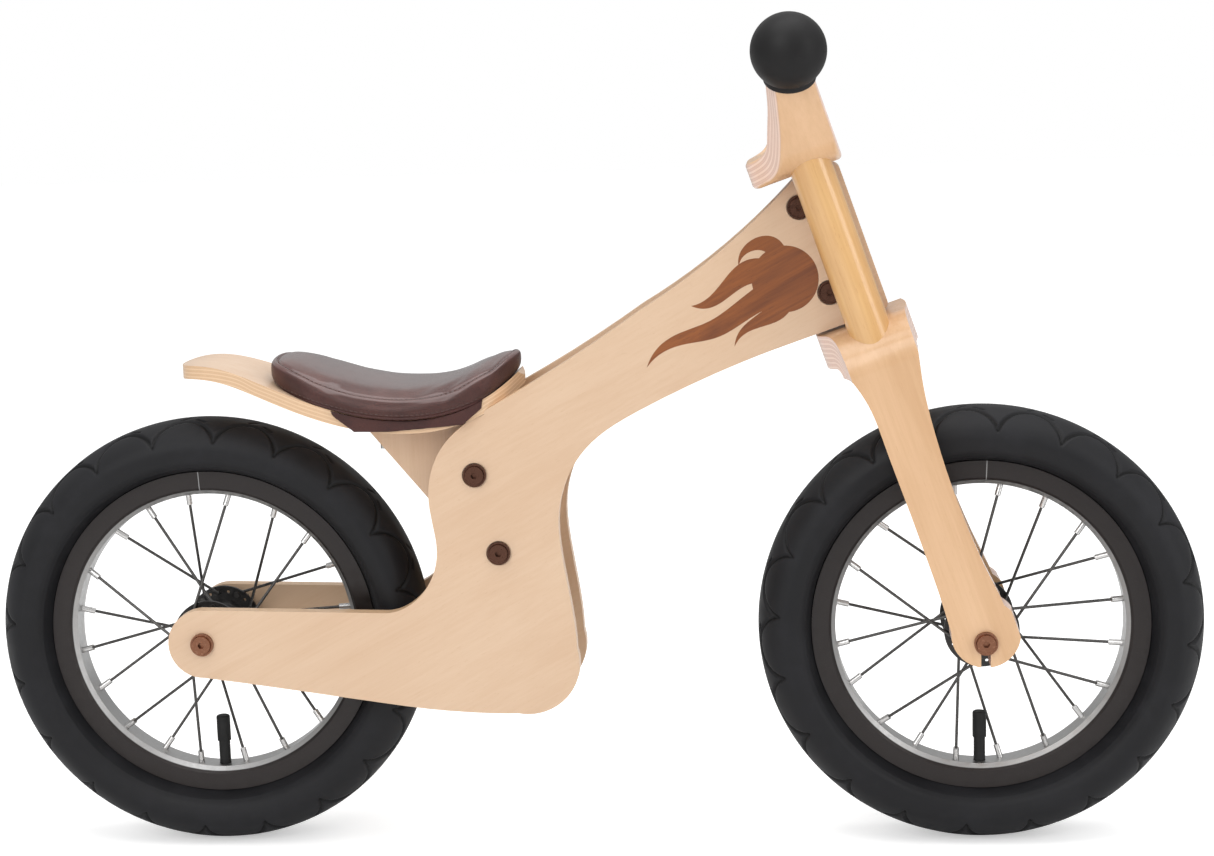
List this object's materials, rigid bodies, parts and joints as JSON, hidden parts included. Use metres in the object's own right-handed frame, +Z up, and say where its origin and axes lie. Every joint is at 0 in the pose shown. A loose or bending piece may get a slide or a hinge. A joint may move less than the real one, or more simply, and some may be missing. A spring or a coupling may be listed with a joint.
{
  "type": "balance bike",
  "caption": "Wooden balance bike for a toddler with bent laminated fork and handlebar, ball grips, leather saddle and wire-spoked air tyres.",
  "frame": {"origin": "on the ground halfway between the two axles, in the wheels' middle plane", "axes": "+X forward, +Y to the rider's left, +Z up"},
  "size_m": [0.822, 0.2408, 0.5584],
  "materials": {
    "birch_ply": "clear satin lacquer over birch plywood, plies showing on every edge",
    "bent_ply": "clear satin lacquer over bent laminated birch",
    "beech": "gloss lacquer over turned beech",
    "walnut": "satin lacquer over walnut veneer, streaked grain",
    "leather": "dark brown leather, glossy on top, pebbled on the side wall",
    "bronzed_steel": "antique bronze plating",
    "zinc_steel": "zinc plated",
    "nickel": "nickel plated",
    "nylon": "natural nylon",
    "black_plastic": "moulded black plastic",
    "grip_rubber": "matt black rubber",
    "tyre": "black tyre rubber",
    "tube_rubber": "black butyl rubber",
    "black_rim": "black-brown anodised side walls",
    "black_hub": "black anodised",
    "black_spokes": "black coated steel wire"
  },
  "bodies": {
    "frame": {"frame_plate_right": "birch_ply", "frame_plate_left": "birch_ply", "inlay_right": "walnut", "inlay_left": "walnut", "head_core": "birch_ply", "head_core_bolts": "bronzed_steel", "head_core_nuts": "bronzed_steel", "upper_bush": "nylon", "lower_bush": "nylon", "seat_post_core": "birch_ply", "seat_post_cheek_right": "birch_ply", "seat_post_cheek_left": "birch_ply", "seat_post_spacers": "beech", "seat_post_bolts": "bronzed_steel", "seat_post_nuts": "bronzed_steel", "seat_board": "birch_ply", "seat_screws": "zinc_steel", "seat_pad": "leather", "seat_flap_right": "leather", "seat_flap_left": "leather", "rear_axle": "zinc_steel", "rear_axle_spacers": "zinc_steel", "rear_axle_bolts": "bronzed_steel"},
    "steering": {"fork": "bent_ply", "handlebar": "bent_ply", "post_right": "beech", "post_left": "beech", "post_dowels": "beech", "steering_bolt": "bronzed_steel", "steering_washers": "bronzed_steel", "steering_nut": "zinc_steel", "grip_right": "grip_rubber", "grip_left": "grip_rubber", "front_axle": "zinc_steel", "front_axle_spacers": "zinc_steel", "front_axle_bolts": "bronzed_steel"},
    "rear_wheel": {"rear_tyre": "tyre", "rear_inner_tube": "tube_rubber", "rear_rim": "black_rim", "rear_rim_tape": "tube_rubber", "rear_spokes": "black_spokes", "rear_spoke_nipples": "nickel", "rear_hub": "black_hub", "rear_hub_bearings": "zinc_steel", "rear_valve_stem": "tube_rubber", "rear_valve_cap": "black_plastic"},
    "front_wheel": {"front_tyre": "tyre", "front_inner_tube": "tube_rubber", "front_rim": "black_rim", "front_rim_tape": "tube_rubber", "front_spokes": "black_spokes", "front_spoke_nipples": "nickel", "front_hub": "black_hub", "front_hub_bearings": "zinc_steel", "front_valve_stem": "tube_rubber", "front_valve_cap": "black_plastic"}
  },
  "joints": [
    {"name": "steering_turn", "type": "hinge", "parent": "frame", "child": "steering", "pos_m": [0.18718, 0, 0.36014], "axis": [-0.3256, 0, 0.9455], "range_deg": [-27, 27]},
    {"name": "rear_wheel_spin", "type": "hinge", "parent": "frame", "child": "rear_wheel", "pos_m": [-0.262, 0, 0.149], "axis": [0, 1, 0], "continuous": true},
    {"name": "front_wheel_spin", "type": "hinge", "parent": "steering", "child": "front_wheel", "pos_m": [0.262, 0, 0.149], "axis": [0, 1, 0], "continuous": true}
  ]
}
